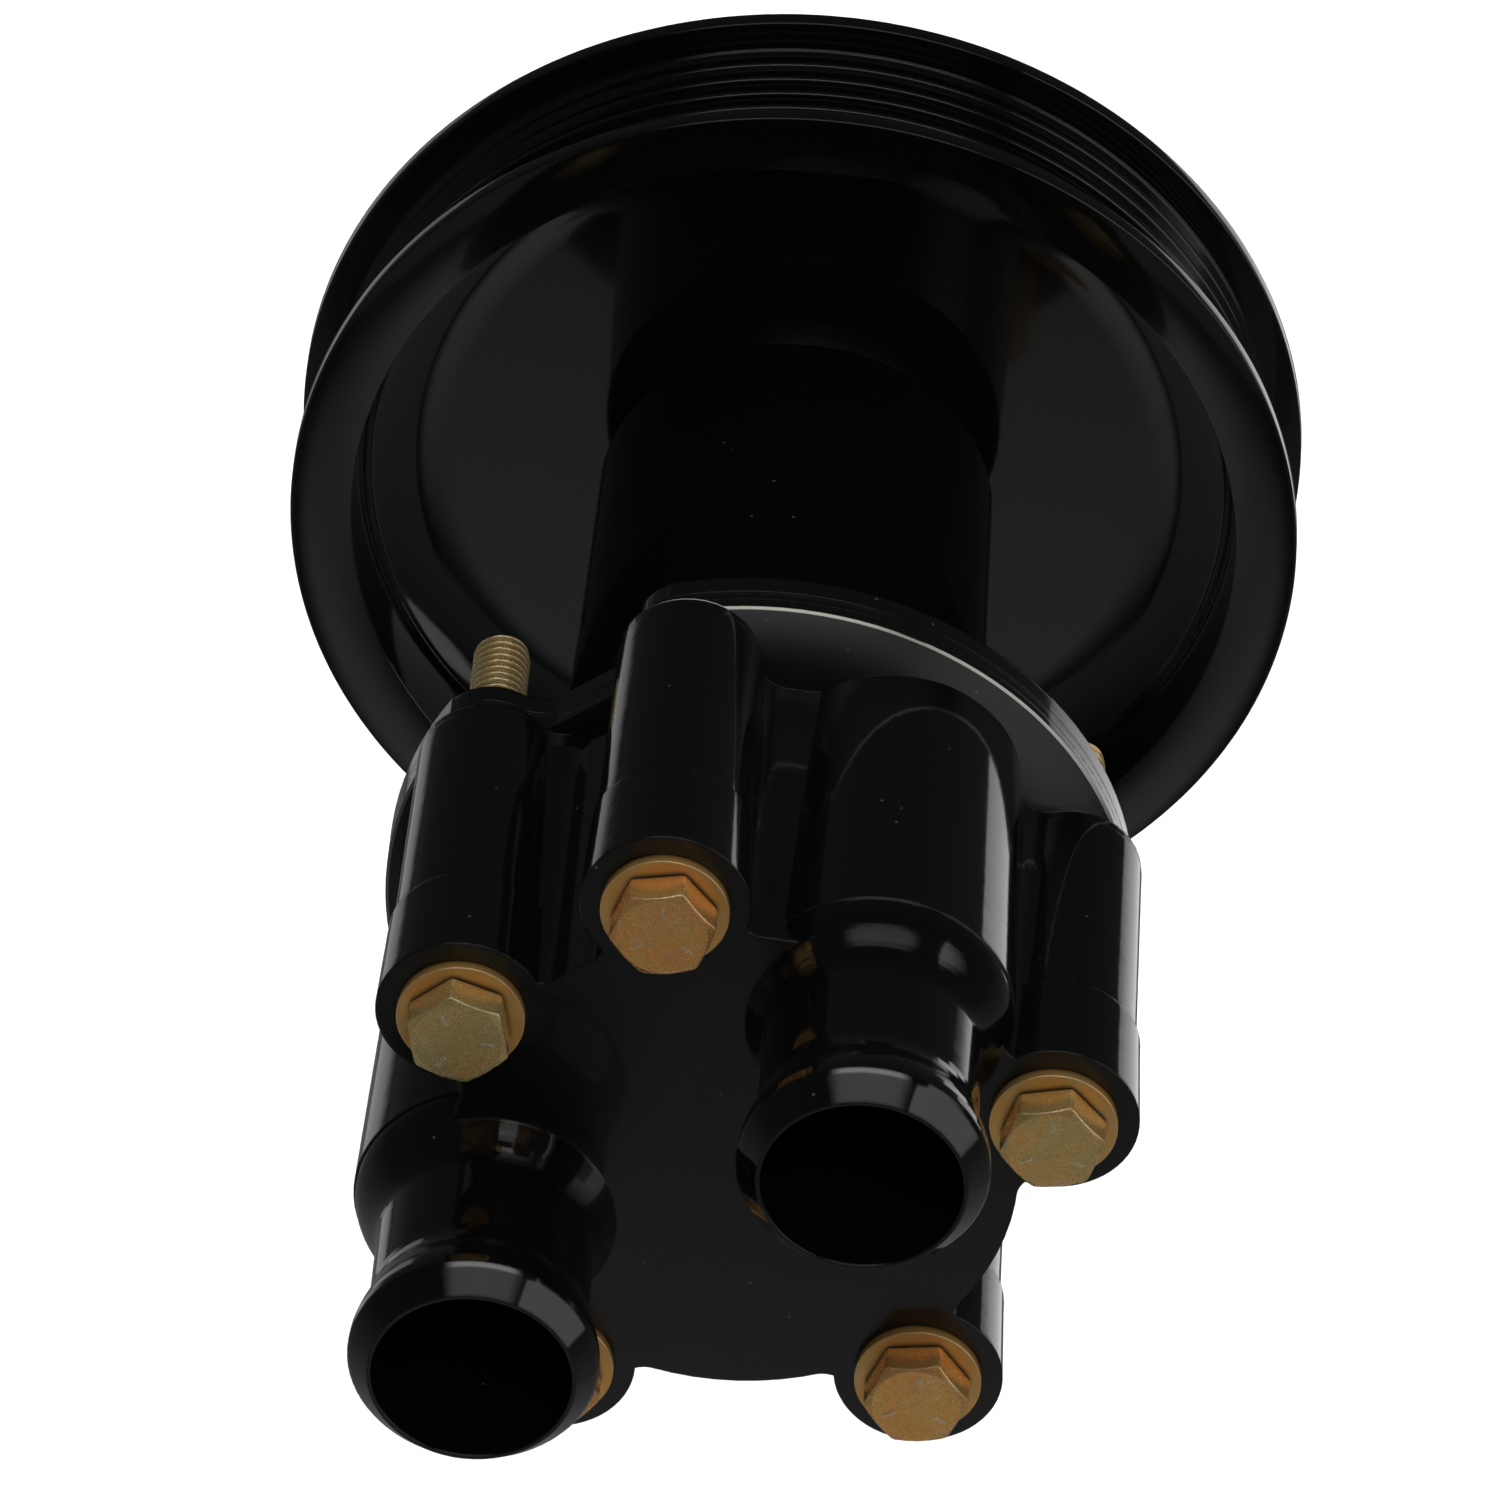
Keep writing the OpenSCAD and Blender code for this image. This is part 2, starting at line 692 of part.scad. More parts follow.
module bolt_boss(a) {
    far = boss_r + boss_draft;
    rim_face = plate_back - body_rim_t;
    at(a, bolt_circle_r) {
        taper(boss_r, ear_r, rim_face - 1.5, rim_face);
        taper(far, boss_r, body_end + boss_step_length, rim_face - 1.5);
        taper(far + 2 * boss_step, far + boss_step, body_end, body_end + boss_step_length);
    }
}

module pump_body() {
    rim_face = plate_back - body_rim_t;
    color([0.03, 0.03, 0.032])
    difference() {
        union() {
            plate(rim_face, plate_back)
            rim_outline();
            plate(body_end, rim_face + eps)
            body_outline();
            for (a = BOLT_ANGLES)
                bolt_boss(a);
            for (p = PORTS)
                translate([p[0], 0, p[1]]) {
                    taper(bulge_r, bulge_r - bulge_draft, chamber_floor - 1, rim_face + eps);
                    spigot();
                }
        }
        rod(chamber_r, chamber_floor, plate_back + 1);
        ring(seal_groove_r + seal_ring_w / 2, seal_groove_r - seal_ring_w / 2,
            plate_back - seal_ring_t, plate_back + 1);
        for (p = PORTS)
            translate([p[0], 0, p[1]]) {
                rod(passage_r, chamber_floor, plate_back - passage_roof);
                rod(spigot_bore_d / 2, mouth_y - 1, chamber_floor + 1);
                taper(mouth_r + 0.04, spigot_bore_d / 2 - eps, mouth_y - 0.4, mouth_y + mouth_run);
            }
        for (a = BOLT_ANGLES)
            at(a, bolt_circle_r) {
                rod(bolt_hole_r, body_end - 1, plate_back + 1);
                // spot face under the washer
                rod(washer_od / 2 + 0.4, body_end - 12, body_end);
            }
        turn(cam_angle)
        translate([chamber_r - 1, floor_plate_front, -cam_key_w / 2])
        cube([cam_key_h + 1, impeller_w + 2, cam_key_w]);
    }
}

module cam() {
    a = floor_plate_front;
    b = plate_back;
    color([0.72, 0.56, 0.28])
    turn(cam_angle) {
        difference() {
            rod(chamber_r, a, b);
            translate([-cam_shift, 0, 0])
            rod(cam_face_r, a - 1, b + 1);
        }
        translate([chamber_r - 1, a, -cam_key_w / 2])
        cube([cam_key_h + 1, b - a, cam_key_w]);
    }
}

module end_wear_plate()
    color([0.75, 0.76, 0.78])
    difference() {
        rod(chamber_r, chamber_floor, floor_plate_front);
        for (p = PORTS)
            translate([p[0], 0, p[1]])
            rod(passage_r, chamber_floor - 1, floor_plate_front + 1);
    }

module body_seal_ring()
    color([0.05, 0.05, 0.05])
    ring(seal_groove_r + seal_ring_w / 2, seal_groove_r - seal_ring_w / 2,
        plate_back - seal_ring_t, plate_back);

// ---- body bolts ----

module body_bolt(i) {
    head_r = bolt_head_af / sqrt(3);
    chamfer = INCH_THREAD_PITCH / 2;
    tip = i == SHORT_BOLT ? housing_face - short_bolt_depth : bolt_tip;
    color([0.72, 0.6, 0.34])
    at(BOLT_ANGLES[i - 1], bolt_circle_r) {
        rod(bolt_d / 2, bolt_seat - eps, tip - chamfer);
        taper(bolt_d / 2, bolt_d / 2 - chamfer, tip - chamfer, tip);
        translate([0, bolt_seat, 0])
        rotate([90, 0, 0])
        rotate([0, 0, 15 + 17 * i])
        intersection() {
            cylinder(h = bolt_head_h, r = head_r, $fn = 6);
            cylinder(h = bolt_head_h, r1 = head_r + 2.6, r2 = bolt_head_af / 2 - 0.1);
        }
    }
}

module body_washer(i)
    color([0.74, 0.63, 0.38])
    at(BOLT_ANGLES[i - 1], bolt_circle_r)
    ring(washer_od / 2, bolt_d / 2 + 0.25, bolt_seat, body_end);

// ---- nodes ----

pump_body();
cam();
end_wear_plate();
body_seal_ring();
wear_plate();
flange_gasket();
bearing_housing();
outer_race(front_bearing_y);  // front_outer_race
outer_race(rear_bearing_y);  // rear_outer_race
bearing_shields(front_bearing_y);  // front_bearing_shields
bearing_shields(rear_bearing_y);  // rear_bearing_shields
bearing_retaining_ring();
grease_seal();
seal_seat();
seal_seat_cup();
shaft();
impeller();
impeller_hub();
impeller_key();
inner_race(front_bearing_y);  // front_inner_race
inner_race(rear_bearing_y);  // rear_inner_race
bearing_spacer();
slinger();
seal_carbon();
seal_bellows();
seal_spring();
pulley_hub();
pulley();
balls(front_bearing_y);  // front_balls
cage(front_bearing_y);  // front_cage
balls(rear_bearing_y);  // rear_balls
cage(rear_bearing_y);  // rear_cage
for (i = [1:5]) {
    body_bolt(i);
    body_washer(i);
}
for (i = [1:4]) {
    pulley_screw(i);
    pulley_lock_washer(i);
}
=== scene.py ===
"""Looks of a belt-driven water pump: painted castings, zinc-plated bolts, a grooved pulley."""
import json
import math

import bmesh
import bpy
from bpy.props import FloatProperty, FloatVectorProperty, IntProperty, PointerProperty
from mathutils import Matrix, Vector


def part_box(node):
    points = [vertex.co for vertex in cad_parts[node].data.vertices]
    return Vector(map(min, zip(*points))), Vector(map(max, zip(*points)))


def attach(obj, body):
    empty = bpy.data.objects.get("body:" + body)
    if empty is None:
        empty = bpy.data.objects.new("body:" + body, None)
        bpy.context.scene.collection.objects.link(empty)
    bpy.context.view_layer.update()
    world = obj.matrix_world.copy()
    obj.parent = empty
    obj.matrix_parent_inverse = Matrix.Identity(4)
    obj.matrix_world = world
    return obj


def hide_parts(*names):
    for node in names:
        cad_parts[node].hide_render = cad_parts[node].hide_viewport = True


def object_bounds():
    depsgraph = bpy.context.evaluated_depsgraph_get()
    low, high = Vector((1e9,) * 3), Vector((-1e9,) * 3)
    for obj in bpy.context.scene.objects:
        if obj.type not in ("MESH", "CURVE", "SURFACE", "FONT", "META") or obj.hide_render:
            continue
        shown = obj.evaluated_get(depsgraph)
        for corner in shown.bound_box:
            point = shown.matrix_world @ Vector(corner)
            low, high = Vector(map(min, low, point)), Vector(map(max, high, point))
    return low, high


bl_info = {
    "name": "Water Pump",
    "version": (1, 0, 0),
    "blender": (4, 5, 0),
    "location": "3D View > Sidebar > Water Pump",
    "description": "Builds the visible pieces of a belt-driven water pump and their finishes",
    "category": "Object",
}

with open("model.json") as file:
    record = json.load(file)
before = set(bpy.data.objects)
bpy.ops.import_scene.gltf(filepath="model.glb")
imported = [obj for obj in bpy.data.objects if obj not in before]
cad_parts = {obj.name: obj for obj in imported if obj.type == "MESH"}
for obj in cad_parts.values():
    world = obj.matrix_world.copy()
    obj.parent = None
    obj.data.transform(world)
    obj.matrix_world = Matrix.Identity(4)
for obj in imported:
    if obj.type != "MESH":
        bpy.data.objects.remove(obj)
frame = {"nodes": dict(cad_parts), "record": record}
CAD_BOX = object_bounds()
MM = 0.001
# places closer than this are the same place
HAIR = 1e-7


# ---------------------------------------------------------------- colours and nodes

def per_metre(size_mm):
    """Scale of a pattern whose parts lie size_mm apart."""
    return 1000 / size_mm


def linear(hex_colour):
    """An sRGB hex colour as linear red, green, blue and alpha."""
    raw = [int(hex_colour[i:i + 2], 16) / 255 for i in (1, 3, 5)]
    return [c / 12.92 if c <= 0.04045 else ((c + 0.055) / 1.055) ** 2.4 for c in raw] + [1.0]


def add_node(tree, kind, links=(), stops=(), **settings):
    """Adds a shader node. Settings name its properties, or with in_ before them its input sockets;
    links feed its sockets, and stops of (position, hex or grey) are the colours of its ramp."""
    node = tree.nodes.new(kind)
    for name, value in settings.items():
        if name.startswith("in_"):
            key = name[3:]
            key = int(key) if key.isdigit() else key.replace("_", " ")
            node.inputs[key].default_value = value
        else:
            setattr(node, name, value)
    for position, _ in stops[2:]:
        node.color_ramp.elements.new(position)
    for element, (position, colour) in zip(node.color_ramp.elements if stops else (), stops):
        element.position = position
        element.color = linear(colour) if isinstance(colour, str) else [colour] * 3 + [1]
    for socket, source in links:
        tree.links.new(source, node.inputs[socket])
    return node


def new_material(name):
    """A material holding a Principled surface, and the coordinates of the object."""
    made = bpy.data.materials.new(name)
    made.use_nodes = True
    tree = made.node_tree
    tree.nodes.clear()
    surface = add_node(tree, "ShaderNodeBsdfPrincipled")
    out = add_node(tree, "ShaderNodeOutputMaterial")
    tree.links.new(surface.outputs[0], out.inputs["Surface"])
    place = add_node(tree, "ShaderNodeTexCoord").outputs["Object"]
    return made, tree, surface, place


def set_surface(surface, **values):
    """Sets sockets of a Principled surface, whose names have underscores for spaces."""
    for name, value in values.items():
        surface.inputs[name.replace("_", " ")].default_value = value


def rounded_edges(tree, surface, height, strength, distance_mm, radius_mm):
    """Bump from a height, over edges that look rounded off by radius_mm."""
    edge = add_node(tree, "ShaderNodeBevel", samples=6, in_Radius=radius_mm * MM)
    bump = add_node(tree, "ShaderNodeBump", [("Height", height), ("Normal", edge.outputs[0])],
                    in_Strength=strength, in_Distance=distance_mm * MM)
    tree.links.new(bump.outputs[0], surface.inputs["Normal"])


# ---------------------------------------------------------------- materials

# the rear face of the pump body's rim, by its station along the shaft
RIM_STATION = -101.1 * MM
RIM_MARGIN = 0.12 * MM
# distances from the shaft on that face: where the cove starts, where the painted highlight starts, the
# edge
COVE_START = 40 * MM
PAINTED_HIGHLIGHT_START = 51.25 * MM
RIM_RADIUS = 51.7 * MM


def cast_enamel(colour, radius_mm=0.7):
    """Gloss black enamel sprayed on cast bronze: a wet-looking film with faint orange peel over the
    sand casting's soft waviness, satin where the closed end was machined, a few specks of dust,
    and a painted highlight, a light grey metallic line along the rim's edge, above the cove that runs down
    to the body."""
    made, tree, surface, place = new_material("gloss_black_enamel_on_casting")
    set_surface(surface, IOR=1.5, Coat_Weight=0.5, Coat_Roughness=0.05)
    split = add_node(tree, "ShaderNodeSeparateXYZ", [("Vector", place)])
    film = add_node(tree, "ShaderNodeTexNoise", [("Vector", place)],
                    in_Scale=per_metre(22.2), in_Detail=3.0)
    gloss = add_node(tree, "ShaderNodeMapRange", [("Value", film.outputs[0])], in_3=0.05, in_4=0.12)
    # settled dust, a speck about 0.5 mm across every 6 mm, larger than real dust so that it shows
    dust = add_node(tree, "ShaderNodeTexVoronoi", [("Vector", place)], in_Scale=per_metre(5.88),
                    in_Randomness=1.0)
    speck = add_node(tree, "ShaderNodeValToRGB", [("Fac", dust.outputs["Distance"])],
                     [(0.0, 1.0), (0.05, 0.0)])
    tone = add_node(tree, "ShaderNodeMix", [(0, speck.outputs[0])], data_type="RGBA",
                    in_6=list(colour) + [1], in_7=linear("#3a3833"))
    # the rim's rear face lies at one station; its distance from the shaft finds its outer edge
    flat = add_node(tree, "ShaderNodeCombineXYZ", [("X", split.outputs["X"]), ("Z", split.outputs["Z"])])
    reach = add_node(tree, "ShaderNodeVectorMath", [(0, flat.outputs[0])], operation="LENGTH")
    on_rim = add_node(tree, "ShaderNodeMath", [(0, split.outputs["Y"])], operation="COMPARE",
                      in_1=RIM_STATION, in_2=RIM_MARGIN)
    # painted highlight: past this distance on the rim's rear face the colour turns light grey and
    # metallic, a bright line painted along the edge
    edge = add_node(tree, "ShaderNodeMath", [(0, reach.outputs["Value"])], operation="GREATER_THAN",
                    in_1=PAINTED_HIGHLIGHT_START)
    wear_and_painted_highlight = add_node(tree, "ShaderNodeMath", [(0, on_rim.outputs[0]), (1, edge.outputs[0])],
                    operation="MULTIPLY")
    # painted highlight: light grey in place of the enamel on that line
    painted_highlight_tone = add_node(tree, "ShaderNodeMix", [(0, wear_and_painted_highlight.outputs[0]), (6, tone.outputs[2])],
                    data_type="RGBA", in_7=linear("#b9b7ae"))
    tree.links.new(painted_highlight_tone.outputs[2], surface.inputs["Base Color"])
    tree.links.new(wear_and_painted_highlight.outputs[0], surface.inputs["Metallic"])
    # faces square to the shaft are satin
    facing = add_node(tree, "ShaderNodeNewGeometry")
    square = add_node(tree, "ShaderNodeVectorMath", [(0, facing.outputs["Normal"])],
                      operation="DOT_PRODUCT", in_1=(0, -1, 0))
    satin = add_node(tree, "ShaderNodeMapRange", [("Value", square.outputs["Value"])], in_1=0.9,
                     in_2=0.98, in_3=0.0, in_4=0.24)
    rough = add_node(tree, "ShaderNodeMath", [(0, gloss.outputs[0]), (1, satin.outputs[0])],
                     operation="ADD")
    tree.links.new(rough.outputs[0], surface.inputs["Roughness"])
    # the cove turns the rim's rear face outwards, most of all at its edge
    outwards = add_node(tree, "ShaderNodeVectorMath", [(0, flat.outputs[0])], operation="NORMALIZE")
    lean = add_node(tree, "ShaderNodeMapRange", [("Value", reach.outputs["Value"])],
                    in_1=COVE_START, in_2=RIM_RADIUS, in_3=0.45, in_4=1.2)
    spread = add_node(tree, "ShaderNodeVectorMath", [(0, outwards.outputs[0]), (3, lean.outputs[0])],
                      operation="SCALE")
    cove = add_node(tree, "ShaderNodeVectorMath", [(0, spread.outputs[0])], operation="ADD",
                    in_1=(0, -1, 0))
    unit = add_node(tree, "ShaderNodeVectorMath", [(0, cove.outputs[0])], operation="NORMALIZE")
    corner = add_node(tree, "ShaderNodeBevel", samples=6, in_Radius=radius_mm * MM)
    normal = add_node(tree, "ShaderNodeMix", [(0, on_rim.outputs[0]), (4, corner.outputs[0]),
                                              (5, unit.outputs[0])], data_type="VECTOR")
    # orange peel of a sprayed film, about 2.5 mm between crests, on the casting's 14 mm waves
    peel = add_node(tree, "ShaderNodeTexNoise", [("Vector", place)],
                    in_Scale=per_metre(2.5), in_Detail=2.0)
    wave = add_node(tree, "ShaderNodeTexNoise", [("Vector", place)],
                    in_Scale=per_metre(14.29), in_Detail=1.5)
    relief = add_node(tree, "ShaderNodeMath", [(0, wave.outputs[0]), (2, peel.outputs[0])],
                      operation="MULTIPLY_ADD", in_1=3.0)
    bump = add_node(tree, "ShaderNodeBump",
                    [("Height", relief.outputs[0]), ("Normal", normal.outputs[1])],
                    in_Strength=0.12, in_Distance=0.14 * MM)
    tree.links.new(bump.outputs[0], surface.inputs["Normal"])
    return made


def wheel_enamel(colour):
    """Gloss black enamel on a spun and machined steel wheel: smoother than on a casting,
    with the lathe's fine rings showing faintly through the film."""
    made, tree, surface, place = new_material("gloss_black_enamel_on_turned_steel")
    set_surface(surface, Base_Color=list(colour) + [1], IOR=1.5, Coat_Weight=0.5, Coat_Roughness=0.05)
    film = add_node(tree, "ShaderNodeTexNoise", [("Vector", place)],
                    in_Scale=per_metre(30.3), in_Detail=2.0)
    gloss = add_node(tree, "ShaderNodeMapRange", [("Value", film.outputs[0])], in_3=0.07, in_4=0.14)
    tree.links.new(gloss.outputs[0], surface.inputs["Roughness"])
    split = add_node(tree, "ShaderNodeSeparateXYZ", [("Vector", place)])
    flat = add_node(tree, "ShaderNodeCombineXYZ", [("X", split.outputs["X"]), ("Z", split.outputs["Z"])])
    reach = add_node(tree, "ShaderNodeVectorMath", [(0, flat.outputs[0])], operation="LENGTH")
    turned = add_node(tree, "ShaderNodeCombineXYZ",
                      [("X", reach.outputs["Value"]), ("Y", split.outputs["Y"])])
    # turning marks, drawn about 0.6 mm apart so that they show
    marks = add_node(tree, "ShaderNodeTexNoise", [("Vector", turned.outputs[0])],
                     in_Scale=per_metre(0.625), in_Detail=2.0)
    rounded_edges(tree, surface, marks.outputs[0], 0.06, 0.05, 0.35)
    return made


def yellow_zinc(colour, name, rough=(0.2, 0.34), hue=0.5):
    """Zinc plate with a yellow chromate film on forged steel: gold that drifts to orange, rose and
    green where the film changes thickness, with grey handling scuffs, bright edges that are partly
    rubbed wear and partly painted highlight, and painted shade darkening the hollows. Hue runs from 0.34,
    greenish, to 0.64, rose."""
    made, tree, surface, place = new_material(name)
    set_surface(surface, Metallic=0.88)
    # the film's colour drifts over some 4 mm about the piece's own hue
    drift = add_node(tree, "ShaderNodeTexNoise", [("Vector", place)],
                     in_Scale=per_metre(4.35), in_Detail=2.5, in_Roughness=0.55)
    film = add_node(tree, "ShaderNodeMix", [(3, drift.outputs[0])], in_0=0.22, in_2=hue)
    tint = add_node(tree, "ShaderNodeValToRGB", [("Fac", film.outputs[0])],
                    [(0.34, "#c2b27c"), (0.43, "#ccae70"), (0.49, "#dcae66"), (0.55, "#e2a45e"),
                     (0.64, "#d4997a")])
    wear = add_node(tree, "ShaderNodeTexNoise", [("Vector", place)],
                    in_Scale=per_metre(4.76), in_Detail=3.0, in_Roughness=0.6)
    scuff = add_node(tree, "ShaderNodeValToRGB", [("Fac", wear.outputs[0])], [(0.58, 0.0), (0.74, 0.4)])
    wear_and_painted_highlight = add_node(tree, "ShaderNodeMix", [(0, scuff.outputs[0]), (6, tint.outputs[0])],
                    data_type="RGBA", in_7=linear("#cfc3a2"))
    # bright edges, partly rubbed wear and partly painted highlight: lightened wherever the rounded normal
    # leaves the flat one, hollow corners too
    corner = add_node(tree, "ShaderNodeBevel", samples=8, in_Radius=0.22 * MM)
    plain = add_node(tree, "ShaderNodeNewGeometry")
    agree = add_node(tree, "ShaderNodeVectorMath", [(0, corner.outputs[0]), (1, plain.outputs["Normal"])],
                     operation="DOT_PRODUCT")
    rubbed_and_painted_highlight = add_node(tree, "ShaderNodeMapRange", [("Value", agree.outputs["Value"])], in_1=0.995,
                      in_2=0.94, in_3=0.0, in_4=0.95)
    bright = add_node(tree, "ShaderNodeMix", [(0, rubbed_and_painted_highlight.outputs[0]), (6, wear_and_painted_highlight.outputs[2])],
                      data_type="RGBA", in_7=linear("#f4ecd2"))
    # painted shade: hollows such as thread roots, found by ambient occlusion, are darkened to a dark brown
    # and lose their shine
    hollow = add_node(tree, "ShaderNodeAmbientOcclusion", samples=8, in_Distance=1.4 * MM)
    depth = add_node(tree, "ShaderNodeValToRGB", [("Fac", hollow.outputs["AO"])],
                     [(0.30, "#33251a"), (0.80, 1.0)])
    shade = add_node(tree, "ShaderNodeMix", [(6, bright.outputs[2]), (7, depth.outputs[0])],
                     data_type="RGBA", blend_type="MULTIPLY", in_0=1.0)
    toned = add_node(tree, "ShaderNodeMix", [(6, shade.outputs[2])], data_type="RGBA",
                     blend_type="MULTIPLY", in_0=1.0, in_7=list(colour) + [1])
    tree.links.new(toned.outputs[2], surface.inputs["Base Color"])
    grain = add_node(tree, "ShaderNodeTexNoise", [("Vector", place)],
                     in_Scale=per_metre(0.8), in_Detail=3.0, in_Roughness=0.6)
    dull = add_node(tree, "ShaderNodeMapRange", [("Value", grain.outputs[0])], in_3=rough[0],
                    in_4=rough[1])
    tree.links.new(dull.outputs[0], surface.inputs["Roughness"])
    bump = add_node(tree, "ShaderNodeBump",
                    [("Height", grain.outputs[0]), ("Normal", corner.outputs[0])],
                    in_Strength=0.05, in_Distance=0.06 * MM)
    tree.links.new(bump.outputs[0], surface.inputs["Normal"])
    return made


def plain_metal(name, colours, rough, grain_mm=0.6, bump=0.08, metallic=1.0):
    """Bare or bright-plated metal: one tone, with machining grain in its gloss."""
    made, tree, surface, place = new_material(name)
    set_surface(surface, Metallic=metallic)
    patch = add_node(tree, "ShaderNodeTexNoise", [("Vector", place)],
                     in_Scale=per_metre(5.88), in_Detail=2.0)
    tone = add_node(tree, "ShaderNodeValToRGB", [("Fac", patch.outputs[0])],
                    [(0.3, colours[0]), (0.7, colours[1])])
    tree.links.new(tone.outputs[0], surface.inputs["Base Color"])
    grain = add_node(tree, "ShaderNodeTexNoise", [("Vector", place)],
                     in_Scale=per_metre(grain_mm), in_Detail=3.0, in_Roughness=0.6)
    dull = add_node(tree, "ShaderNodeMapRange", [("Value", grain.outputs[0])], in_3=rough * 0.75,
                    in_4=rough * 1.25)
    tree.links.new(dull.outputs[0], surface.inputs["Roughness"])
    rounded_edges(tree, surface, grain.outputs[0], bump, 0.05, 0.2)
    return made


def moulded(name, colours, rough, grain_mm=0.5):
    """Moulded rubber, pressed sheet, carbon or ceramic: dull, with a fine skin."""
    return plain_metal(name, colours, rough, grain_mm, 0.12, 0.0)


# ---------------------------------------------------------------- mesh helpers

def finish_mesh(mesh_edit, name, material, angle=35):
    """Turns an edit mesh into a smooth-shaded object whose edges sharper than angle stay crisp."""
    bmesh.ops.recalc_face_normals(mesh_edit, faces=mesh_edit.faces)
    for face in mesh_edit.faces:
        face.smooth = True
    limit = math.radians(angle)
    for edge in mesh_edit.edges:
        if len(edge.link_faces) == 2 and edge.calc_face_angle(0) > limit:
            edge.smooth = False
    data = bpy.data.meshes.new(name)
    mesh_edit.to_mesh(data)
    mesh_edit.free()
    made = bpy.data.objects.new(name, data)
    made.data.materials.append(material)
    bpy.context.scene.collection.objects.link(made)
    return made


def rounded(points, radius, steps=3):
    """A closed profile with its corners rounded off by up to radius."""
    out = []
    count = len(points)
    for i, point in enumerate(points):
        here = Vector(point)
        before, after = Vector(points[i - 1]), Vector(points[(i + 1) % count])
        a, b = before - here, after - here
        turn = a.angle(b, math.pi) if a.length and b.length else math.pi
        if turn > math.radians(172):
            out.append(here)
            continue
        reach = min(radius / math.tan(turn / 2), a.length * 0.45, b.length * 0.45)
        first, last = here + a.normalized() * reach, here + b.normalized() * reach
        for k in range(steps + 1):
            t = k / steps
            out.append(first * (1 - t) ** 2 + here * 2 * t * (1 - t) + last * t ** 2)
    return out


def lathe(profile, segments, centre=(0, 0)):
    """Spins a closed profile of (radius, station) points about an axis along Y through centre."""
    mesh_edit = bmesh.new()
    corners = [mesh_edit.verts.new((r, y, 0)) for r, y in profile]
    edges = [mesh_edit.edges.new((corners[i], corners[(i + 1) % len(corners)]))
             for i in range(len(corners))]
    bmesh.ops.spin(mesh_edit, geom=corners + edges, cent=(0, 0, 0), axis=(0, 1, 0), dvec=(0, 0, 0),
                   angle=math.tau, steps=segments, use_merge=True, use_duplicate=False)
    bmesh.ops.remove_doubles(mesh_edit, verts=mesh_edit.verts, dist=1e-6)
    bmesh.ops.translate(mesh_edit, verts=mesh_edit.verts, vec=(centre[0], 0, centre[1]))
    return mesh_edit


def place_piece(piece, body, node):
    """Makes a piece ride on a body in place of a CAD node."""
    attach(piece, body)
    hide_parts(node)


def paint_nodes(names, material):
    """Gives CAD nodes a material."""
    for name in names:
        data = frame["nodes"][name].data
        data.materials.clear()
        data.materials.append(material)


# ---------------------------------------------------------------- settings

class PaintSettings(bpy.types.PropertyGroup):
    """Colours of the finishes."""
    enamel: FloatVectorProperty(name="Enamel", description="Colour of the gloss enamel",
                                subtype="COLOR", size=3, min=0, max=1, default=(0.0010, 0.0010, 0.00095))
    zinc: FloatVectorProperty(name="Zinc tone", description="Overall tone of the yellow zinc plate",
                              subtype="COLOR", size=3, min=0, max=1, default=(1.0, 1.0, 1.0))


class FastenerSettings(bpy.types.PropertyGroup):
    """Sizes of the body bolts and washers."""
    pitch: FloatProperty(name="Thread pitch", description="Distance from one thread crest to the next",
                         unit="LENGTH", default=1.411 * MM, min=0.5 * MM, max=3 * MM)
    depth: FloatProperty(name="Thread depth", description="Height of a thread from root to crest",
                         unit="LENGTH", default=0.78 * MM, min=0.2 * MM, max=2 * MM)
    threaded: FloatProperty(name="Threaded length", description="Length of thread at the bolt's end",
                            unit="LENGTH", default=25 * MM, min=5 * MM, max=40 * MM)
    washer_hole: FloatProperty(name="Washer hole", description="Radius of the washer's hole",
                               unit="LENGTH", default=4.25 * MM, min=4 * MM, max=5 * MM)


class WheelSettings(bpy.types.PropertyGroup):
    """Sizes of the pulley that its box doesn't give."""
    grooves: IntProperty(name="Grooves", description="Number of belt grooves", default=6, min=3, max=8)
    pitch: FloatProperty(name="Groove pitch", description="Distance from one groove to the next",
                         unit="LENGTH", default=3.56 * MM, min=2 * MM, max=5 * MM)
    rib: FloatProperty(name="Rib radius", description="Radius over the belt ribs",
                       unit="LENGTH", default=67.57 * MM, min=60 * MM, max=70 * MM)
    groove_depth: FloatProperty(name="Groove depth", description="Depth of a belt groove",
                                unit="LENGTH", default=2.9 * MM, min=1 * MM, max=4 * MM)


class LightSettings(bpy.types.PropertyGroup):
    """Strength of the studio's lights."""
    strips: FloatProperty(name="Strips", description="Strength of the strips behind the pump",
                          default=1.0, min=0, max=10)
    front: FloatProperty(name="Front card", description="Strength of the card that the flat faces mirror",
                         default=1.0, min=0, max=10)
    top: FloatProperty(name="Top card", description="Strength of the box above the pump",
                       default=1.0, min=0, max=10)
    floor: FloatProperty(name="Lamps", description="Strength of the plain lamps on the floor and the pump",
                         default=1.0, min=0, max=10)


# ---------------------------------------------------------------- pieces

class PUMP_OT_castings(bpy.types.Operator):
    """Paints the pump body and the bearing housing"""
    bl_idname = "pump.castings"
    bl_label = "Castings"

    def execute(self, context):
        paint = cast_enamel(context.scene.pump_paint.enamel)
        paint_nodes(["pump_body", "bearing_housing"], paint)
        # the thin plate and the gasket are sprayed with the pump, so only their edges show, in black
        paint_nodes(["wear_plate", "flange_gasket"], cast_enamel(context.scene.pump_paint.enamel, 0.2))
        return {"FINISHED"}


